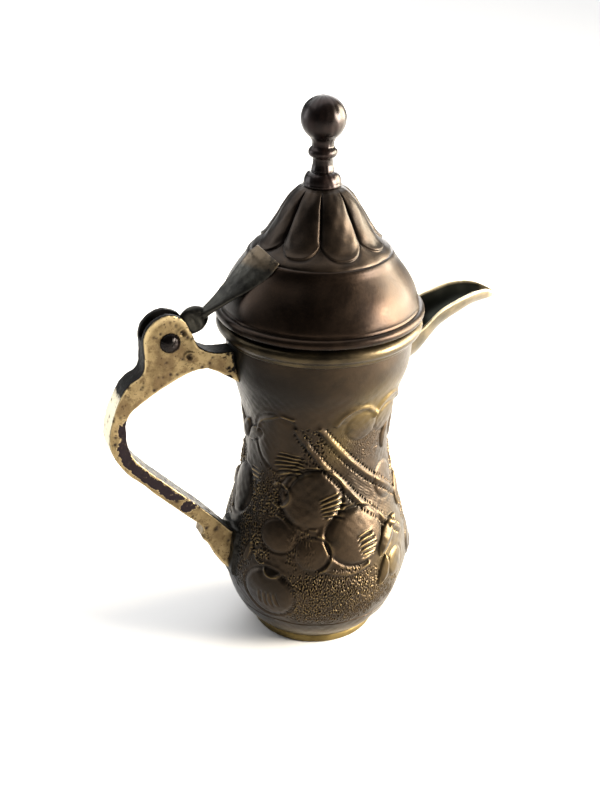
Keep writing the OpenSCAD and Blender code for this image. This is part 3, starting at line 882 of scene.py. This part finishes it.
def make_strap():
    """Tongue bored for the pin, pear-shaped knuckle and leaf, forged in one."""
    tongue = lathe("Tongue", softened([(1.56, -1.7), (5.9, -1.7), (5.9, 1.7), (1.56, 1.7)], 0.4), 96, 0)
    along_y(tongue)
    turn = np.radians(np.arange(0, 181, 6))
    knuckle = lathe("Knuckle", np.stack([np.sin(turn), -np.cos(turn)], -1), 48, 0)
    co = points_of(knuckle)
    tilt = radians(28)
    x, z = co[:, 0] * 5.6, co[:, 2] * 4.8
    x, z = -45.9 + x * cos(tilt) - z * sin(tilt), 128.0 + x * sin(tilt) + z * cos(tilt)
    swell = 1.5 + 1.3 * smoothstep(10.2, 12.6, np.hypot(x - PIN.x, z - PIN.z))
    set_points(knuckle, np.stack([x, co[:, 1] * swell, z], -1))
    obj = joined("HingeStrap", [make_leaf(), tongue, knuckle])
    rounded(obj, 0.24)
    co = points_of(obj)
    set_points(obj, co + normals_of(obj) * (0.035 * lumps(co, 51, 4))[:, None])
    point_values(obj, end=smoothstep(146, 148.6, co[:, 2]))
    return obj


def joined(name, objects):
    """One object from several closed meshes."""
    bm = bmesh.new()
    for o in objects:
        bm.from_mesh(o.data)
        mesh = o.data
        bpy.data.objects.remove(o)
        bpy.data.meshes.remove(mesh)
    mesh = bpy.data.meshes.new(name)
    bm.to_mesh(mesh)
    bm.free()
    return linked(name, mesh)


# Stations along the spout: distance from the axis, keel height, rim height, half width
SPOUT = [(31.5, 101.5, 114, 10.4), (37, 105, 118, 9.9), (43, 112, 122.2, 8.9), (48, 115.5, 124.2, 8.3),
         (53, 118, 125.9, 7.8), (58, 120.1, 126.7, 6.6), (63, 120.9, 126.4, 4.7), (67, 121.3, 124.8, 2.8),
         (69.8, 121.9, 123.3, 1.3)]


def make_spout():
    """Open beak of sheet metal with a rounded edge, deeper at the neck and pointed at the tip."""
    line = spline(SPOUT, 9)
    side_steps = 40
    thick = np.interp(line[:, 0], [31, 57, 60, 70], [1.15, 1.1, 0.8, 0.6])
    rows = []
    for (u, keel, rim, w), t in zip(line, thick):
        a = np.radians(np.linspace(-90, 90, side_steps))
        outer = np.stack([np.full_like(a, u), w * np.sin(a), rim - (rim - keel) * np.cos(a)], -1)
        deep = max(rim - keel - t, 0.12)
        wi = max(w - t, 0.12)
        inner = np.stack([np.full_like(a, u), wi * np.sin(a), rim - deep * np.cos(a)], -1)[::-1]
        turn = np.radians(np.linspace(0, 180, 7))[1:-1]
        mid = (w + wi) / 2
        half = (w - wi) / 2
        lip = np.stack([np.full_like(turn, u), mid + half * np.cos(turn), rim + 0.35 * half * np.sin(turn)], -1)
        far = lip * [1, -1, 1]
        rows.append(np.concatenate([outer, lip, inner, far[::-1]]))
    grid = np.array(rows)
    count = grid.shape[1]
    obj = make_object("Spout", grid.reshape(-1, 3), grid_faces(len(grid), count, False, True))
    with edited(obj) as bm:
        for base, flip in ((0, True), ((len(grid) - 1) * count, False)):
            for i in range(count // 2 - 1):
                quad = [bm.verts[base + k] for k in (i, i + 1, count - 2 - i, count - 1 - i)]
                bm.faces.new(quad[::-1] if flip else quad)
    clean(obj)
    co = points_of(obj)
    # the root follows the neck and the ring instead of running through them
    r = np.hypot(co[:, 0], co[:, 1])
    outline = spline(BODY_OUTLINE, 8)
    neck = np.interp(co[:, 2], outline[:, 1], outline[:, 0])
    wanted = np.where(co[:, 2] < NECK_TOP, neck - 0.5, 33.0)
    push = np.clip(wanted - r, 0, None) * (co[:, 0] < 36)
    co[:, :2] *= (1 + push / np.maximum(r, 1))[:, None]
    n = normals_of(obj)
    station = np.clip(co[:, 0], line[0, 0], line[-1, 0])
    rim, keel, half = (np.interp(station, line[:, 0], line[:, k]) for k in (2, 1, 3))
    tip = smoothstep(64, 69, co[:, 0])
    co += n * (0.05 * lumps(co, 61, 9) + 0.08 * tip * lumps(co, 62, 1.6))[:, None]
    set_points(obj, co)
    lip = np.clip(1 - (rim - co[:, 2]) / 0.7, 0, 1)
    inward = n[:, 2] > 0.05
    inward |= (n[:, 1] * co[:, 1] < 0) & (np.abs(co[:, 1]) > 1)
    # painted shade inside the channel, fading out towards the lip and the tip
    point_values(obj, lip=np.clip(lip + tip, 0, 1),
                 hollow=np.where(inward, 1 - np.clip(lip * 1.3 + 0.7 * tip, 0, 1), 0))
    return obj


# --- materials
class Shader:
    """Builds a node material; colour holds what has been painted so far."""

    def __init__(self, name):
        self.mat = bpy.data.materials.new(name)
        self.mat.use_nodes = True
        self.coords = self.node("TexCoord", {}).outputs["Object"]
        self.colour = None

    def put(self, socket, value):
        """Links an output to the socket, or sets a number or colour on it."""
        if isinstance(value, bpy.types.NodeSocket):
            self.mat.node_tree.links.new(value, socket)
        elif value is not None:
            socket.default_value = (*value, 1) if socket.type == "RGBA" else value

    def node(self, kind, inputs, **settings):
        n = self.mat.node_tree.nodes.new("ShaderNode" + kind)
        for key, value in settings.items():
            setattr(n, key, value)
        for key, value in inputs.items():
            self.put(n.inputs[key], value)
        return n

    def noise(self, scale, detail=4.0, rough=0.55, stretch=(1, 1, 1), distort=0.0):
        """Noise over the object; scale is in repeats per metre."""
        m = self.node("Mapping", {"Vector": self.coords, "Scale": stretch})
        return self.node("TexNoise", {"Vector": m.outputs[0], "Scale": scale, "Detail": detail, "Roughness": rough,
                                      "Distortion": distort}).outputs["Fac"]

    def attribute(self, name):
        return self.node("Attribute", {}, attribute_name=name).outputs["Fac"]

    def ramp(self, fac, low_v, high_v, to_low=0.0, to_high=1.0):
        return self.node("MapRange", {"Value": fac, "From Min": low_v, "From Max": high_v, "To Min": to_low,
                                      "To Max": to_high}, interpolation_type="SMOOTHSTEP").outputs["Result"]

    def math(self, how, a, b=0.0):
        return self.node("Math", {0: a, 1: b}, operation=how).outputs[0]

    def times(self, a, b):
        return self.math("MULTIPLY", a, b)

    def plus(self, a, b):
        return self.math("ADD", a, b)

    def paint(self, amount, colour, over=None):
        """Lays a colour over what is there, or over another colour to begin with."""
        self.colour = self.node("Mix", {0: amount, 6: over or self.colour, 7: colour}, data_type="RGBA").outputs[2]

    def bump(self, height, strength, distance_mm, before=None):
        return self.node("Bump", {"Strength": strength, "Distance": distance_mm * MM, "Height": height,
                                  "Normal": before}).outputs["Normal"]

    def height(self):
        """Height above the table, in metres."""
        return self.node("SeparateXYZ", {0: self.coords}).outputs["Z"]

    def finish(self, rough, normal=None, metal=0.9):
        inputs = self.mat.node_tree.nodes["Principled BSDF"].inputs
        for name, value in (("Base Color", self.colour), ("Roughness", rough), ("Metallic", metal),
                            ("Normal", normal)):
            self.put(inputs[name], value)
        return self.mat


def body_material():
    """Old brass: dark in the hollows, worn bright along the crests and on the broad raised areas; painted highlight in
    some places and painted shade in others.
    """
    s = Shader("BodyBrass")
    cloud = s.noise(38, 5, 0.6)
    grime = s.noise(130, 6, 0.65, distort=0.5)
    fine = s.noise(900, 6, 0.65)
    low, high = s.attribute("fine"), s.attribute("broad")
    s.paint(s.ramp(cloud, 0.34, 0.68), (0.0289, 0.0189, 0.0108), over=(0.0117, 0.0082, 0.0052))
    s.paint(s.ramp(high, 0.0, 0.9, 0, 0.35), (0.0463, 0.0298, 0.015))
    s.paint(s.ramp(high, -0.05, -0.8, 0, 0.65), (0.0099, 0.0074, 0.0048))
    s.paint(s.ramp(low, -0.1, -0.7, 0, 0.75), (0.005, 0.004, 0.0029))
    # painted shade: the smoky areas darken the body's left side and the left of the neck
    s.paint(s.ramp(s.attribute("rubbed"), 0, -1, 0, 0.85), (0.0065, 0.0055, 0.0047))
    # painted highlight: warm gold on the neck and belly where the light falls, broken up by noise
    patch = s.ramp(s.noise(70, 5, 0.6, distort=0.5), 0.3, 0.6, 0.35, 1)
    gold = s.times(s.ramp(s.attribute("rubbed"), 0, 1), patch)
    s.paint(gold, (0.075, 0.054, 0.0225))
    worn = s.times(s.ramp(low, 0.1, 0.8, 0, 0.7), s.ramp(grime, 0.34, 0.6, 0.2, 1))
    s.paint(worn, (0.21, 0.148, 0.066))
    s.paint(s.ramp(grime, 0.52, 0.7, 0, 0.6), (0.0092, 0.0074, 0.0048))
    low_band = s.ramp(s.height(), 0.0125, 0.0065, 0, 0.85)
    s.paint(low_band, (0.0802, 0.0526, 0.0163))
    # painted shade where the handle meets the body, together with dark solder residue
    s.paint(s.attribute("solder"), (0.0086, 0.008, 0.0067))
    s.paint(s.attribute("inside"), (0.0617, 0.0469, 0.0242))
    rough = s.ramp(s.plus(s.times(cloud, 0.6), s.times(fine, 0.4)), 0.3, 0.7, 0.30, 0.46)
    cells = s.node("TexVoronoi", {"Vector": s.coords, "Scale": 1500}).outputs["Distance"]
    return s.finish(rough, s.bump(cells, 0.12, 0.12, s.bump(fine, 0.3, 0.12)))


def plain_brass(name, dark, mid, worn, rough_low, rough_high):
    """Satin metal with a cloudy patina and a fine grain."""
    s = Shader(name)
    cloud = s.noise(42, 6, 0.62, distort=0.4)
    fine = s.noise(1100, 5, 0.6)
    streak = s.noise(320, 3, 0.5, (1, 1, 0.25))
    s.paint(s.ramp(cloud, 0.36, 0.66), mid, over=dark)
    s.paint(s.times(s.ramp(streak, 0.66, 0.82), 0.5), worn)
    s.paint(s.ramp(fine, 0.64, 0.8, 0, 0.45), tuple(c * 0.35 for c in dark))
    rough = s.ramp(s.plus(s.times(cloud, 0.5), s.times(fine, 0.5)), 0.32, 0.68, rough_low, rough_high)
    return s.finish(rough, s.bump(fine, 0.25, 0.12), metal=0.95)


def cone_material():
    s = Shader("ConeBrass")
    cloud = s.noise(60, 6, 0.6, distort=0.4)
    fine = s.noise(1000, 5, 0.6)
    crest = s.attribute("crest")
    s.paint(s.ramp(cloud, 0.35, 0.66), (0.0223, 0.0147, 0.0094), over=(0.0081, 0.0056, 0.0039))
    s.paint(s.ramp(crest, 0.2, -0.8, 0, 0.6), (0.0033, 0.0023, 0.0019))
    s.paint(s.ramp(s.noise(260, 5), 0.56, 0.72, 0, 0.35), (0.0366, 0.0245, 0.015))
    rough = s.ramp(cloud, 0.3, 0.7, 0.33, 0.48)
    return s.finish(rough, s.bump(fine, 0.22, 0.12))


def strap_material():
    """Dark forged metal, greyer and scratched on top, with tan solder at the leaf's end."""
    s = Shader("StrapMetal")
    cloud = s.noise(120, 6, 0.62, distort=0.5)
    fine = s.noise(1100, 5, 0.6)
    scratch = s.noise(500, 3, 0.5, (0.25, 1, 0.6))
    s.paint(s.ramp(cloud, 0.35, 0.66), (0.0326, 0.0313, 0.0258), over=(0.0136, 0.0129, 0.0109))
    s.paint(s.ramp(scratch, 0.56, 0.72, 0, 0.35), (0.068, 0.0646, 0.0544))
    tan = s.times(s.attribute("end"), s.ramp(cloud, 0.36, 0.5))
    s.paint(s.times(tan, 0.8), (0.0952, 0.0714, 0.0462))
    rough = s.ramp(fine, 0.3, 0.7, 0.33, 0.5)
    return s.finish(rough, s.bump(fine, 0.35, 0.12), metal=0.85)


def bronze_material():
    """Reddish dark brown, glossy from handling."""
    s = Shader("DarkBronze")
    cloud = s.noise(120, 5, 0.6)
    fine = s.noise(1600, 4, 0.6)
    s.paint(s.ramp(cloud, 0.35, 0.66), (0.0118, 0.0059, 0.0048), over=(0.0031, 0.0019, 0.0017))
    s.paint(s.ramp(s.noise(420, 5), 0.6, 0.72, 0, 0.4), (0.0208, 0.0122, 0.0104))
    rough = s.ramp(cloud, 0.3, 0.7, 0.24, 0.36)
    return s.finish(rough, s.bump(fine, 0.12, 0.08), metal=0.75)


def handle_material():
    """Cast brass, light on its faces, with dark casting skin and black pits; a painted highlight on the outer back
    edge, and painted shade on the inner edge, along the top edges and in the slot.
    """
    s = Shader("CastBrass")
    cloud = s.noise(90, 5, 0.6)
    fine = s.noise(1200, 5, 0.65)
    blot = s.ramp(s.noise(260, 6, 0.62, distort=0.6), 0.36, 0.64)
    s.paint(s.ramp(cloud, 0.3, 0.7), (0.198, 0.149, 0.0756), over=(0.0945, 0.0666, 0.0315))
    s.paint(s.ramp(s.noise(420, 5, 0.65), 0.5, 0.66, 0, 0.7), (0.054, 0.0342, 0.0162))
    dull = s.times(s.ramp(s.noise(150, 5, 0.6), 0.46, 0.6), s.ramp(s.height(), 0.085, 0.1, 0.2, 0.75))
    s.paint(dull, (0.0765, 0.0495, 0.0243))
    # painted shade on the inner edge
    s.paint(s.attribute("dull"), (0.0315, 0.0297, 0.0216))
    # painted highlight on the outer back edge
    s.paint(s.attribute("pale"), (0.594, 0.540, 0.396))
    edge_on = s.times(s.math("ABSOLUTE", s.attribute("across")), s.ramp(s.attribute("side"), 0.5, 0.9))
    s.paint(s.ramp(edge_on, 0.78, 0.95, 0, 0.75), (0.378, 0.297, 0.162))
    thin = s.plus(s.times(s.attribute("stain"), 0.62), s.times(blot, 0.4))
    s.paint(s.ramp(thin, 0.54, 0.60), (0.324, 0.252, 0.140))
    s.paint(s.ramp(thin, 0.60, 0.63), (0.0108, 0.0072, 0.009))
    speck = s.ramp(s.noise(1300, 3, 0.5), 0.63, 0.69, 0, 0.85)
    s.paint(speck, (0.027, 0.018, 0.0135))
    # painted shade in the slot, on the top edges and by the body, with a ragged edge
    ragged = s.plus(s.attribute("dirt"), s.times(s.plus(blot, -0.5), 0.35))
    s.paint(s.ramp(ragged, 0.38, 0.58), (0.0045, 0.004, 0.0036))
    s.paint(s.attribute("pit"), (0.0144, 0.0099, 0.0081))
    rough = s.plus(s.ramp(fine, 0.3, 0.7, 0.3, 0.48), s.ramp(ragged, 0.4, 0.6, 0, 0.3))
    return s.finish(rough, s.bump(fine, 0.4, 0.15))


def spout_material():
    """Painted shade inside the channel, brighter outside and along the worn lip."""
    s = Shader("SpoutBrass")
    cloud = s.noise(70, 5, 0.6)
    fine = s.noise(1100, 5, 0.6)
    lip, hollow = s.attribute("lip"), s.attribute("hollow")
    s.paint(s.ramp(cloud, 0.35, 0.66), (0.15, 0.12, 0.075), over=(0.05, 0.043, 0.03))
    # painted shade inside the channel
    s.paint(hollow, (0.012, 0.013, 0.010))
    rubbed = s.times(lip, s.ramp(s.noise(380, 4), 0.3, 0.55, 0.3, 1))
    s.paint(rubbed, (0.45, 0.38, 0.25))
    rough = s.ramp(cloud, 0.3, 0.7, 0.32, 0.46)
    return s.finish(rough, s.bump(fine, 0.25, 0.12))


# --- stage, lights and camera
def make_stage():
    size = 6.0
    mesh = bpy.data.meshes.new("Floor")
    mesh.from_pydata([(-size, -size, 0), (size, -size, 0), (size, size, 0), (-size, size, 0)], [], [(0, 1, 2, 3)])
    floor = linked("Floor", mesh)
    s = Shader("FloorPale")
    s.colour = (0.5, 0.5, 0.5)
    floor.data.materials.append(s.finish(0.9, metal=0.0))


def area_light(name, place_m, target_m, size_m, power, colour=(1, 1, 1)):
    data = bpy.data.lights.new(name, "AREA")
    data.shape = "RECTANGLE"
    data.size, data.size_y = size_m
    data.energy = power
    data.color = colour
    light = linked(name, data)
    light.location = place_m
    light.rotation_euler = (Vector(target_m) - Vector(place_m)).to_track_quat("-Z", "Y").to_euler()


def make_lights():
    """Two strong soft lights low at the sides and behind, a broad one behind overhead, and a faint fill."""
    aim = (0, 0, 0.1)
    area_light("KeyRight", (0.72, -0.45, 0.27), aim, (0.34, 0.4), 58, (1.0, 0.92, 0.80))
    area_light("SideRight", (0.80, -0.04, 0.30), aim, (0.5, 0.5), 36, (1.0, 0.88, 0.68))
    area_light("BackRight", (0.45, 0.8, 0.32), aim, (0.5, 0.5), 6, (1.0, 0.98, 0.95))
    area_light("BackLeft", (-0.7, 0.5, 0.32), aim, (0.4, 0.5), 4, (0.96, 0.98, 1.0))
    area_light("Overhead", (0.0, 1.9, 2.4), (0, 1.9, 0), (4.6, 4.2), 215)
    world = bpy.data.worlds.new("Studio")
    bpy.context.scene.world = world
    world.use_nodes = True
    world.node_tree.nodes["Background"].inputs["Color"].default_value = (1, 1, 1, 1)
    world.node_tree.nodes["Background"].inputs["Strength"].default_value = 0.12


def make_camera():
    """Stands to the handle's side of the front, above the pot, looking down on it."""
    place_m = Vector((-0.1557, -0.3685, 0.288))
    look = Vector((0.336, 0.831, -0.443)).normalized()
    roll = radians(0.93)
    right = look.cross(Vector((0, 0, 1))).normalized()
    up = right.cross(look)
    tilted_right = right * cos(roll) + up * sin(roll)
    tilted_up = up * cos(roll) - right * sin(roll)
    data = bpy.data.cameras.new("Camera")
    data.lens = 55.7
    data.sensor_width = 36
    data.clip_start = 0.01
    camera = linked("Camera", data)
    camera.matrix_world = Matrix((tilted_right, tilted_up, -look)).transposed().to_4x4()
    camera.location = place_m
    bpy.context.scene.camera = camera


# --- the object
make_camera()
make_stage()
make_lights()
bpy.context.scene.view_settings.view_transform = "Standard"

lid_brass = plain_brass("LidBrass", (0.0073, 0.0046, 0.0033),
                        (0.019, 0.0117, 0.0074), (0.0329, 0.0215, 0.0132), 0.31, 0.43)
ring_brass = plain_brass("RingBrass", (0.0216, 0.0166, 0.0101),
                         (0.059, 0.0446, 0.0245), (0.130, 0.101, 0.0576), 0.28, 0.40)
foot_brass = plain_brass("FootBrass", (0.072, 0.0512, 0.0176), (0.152, 0.112, 0.0416), (0.240, 0.188, 0.088), 0.32, 0.5)
inner_brass = plain_brass("InnerBrass", (0.14, 0.11, 0.06), (0.27, 0.215, 0.12), (0.4, 0.33, 0.2), 0.4, 0.55)
bronze = bronze_material()

place(make_body(), POT, "body_brass", body_material(), "body_shell")
place(make_base(), POT, "foot_brass", foot_brass, "base_plate")
place(make_mouth_ring(), POT, "body_brass", ring_brass, "mouth_ring")
place(make_spout(), POT, "spout_brass", spout_material(), "spout")
place(make_handle(), POT, "cast_brass", handle_material(), "handle")
place(make_pin(), POT, "dark_bronze", bronze, "hinge_pin")
place(make_lid_rim(), LID, "lid_brass", lid_brass, "lid_rim")
place(make_lid_collar(), LID, "inner_brass", inner_brass, "lid_collar")
place(make_lid_dome(), LID, "lid_brass", lid_brass, "lid_dome")
place(make_lid_cone(), LID, "lid_brass", cone_material(), "lid_cone")
place(make_cone_cap(), LID, "dark_bronze", bronze, "cone_cap")
place(make_finial(), LID, "dark_bronze", bronze, "finial")
place(make_rove(), LID, "inner_brass", inner_brass, "finial_rove")
place(make_strap(), LID, "dark_iron", strap_material(), "hinge_strap")
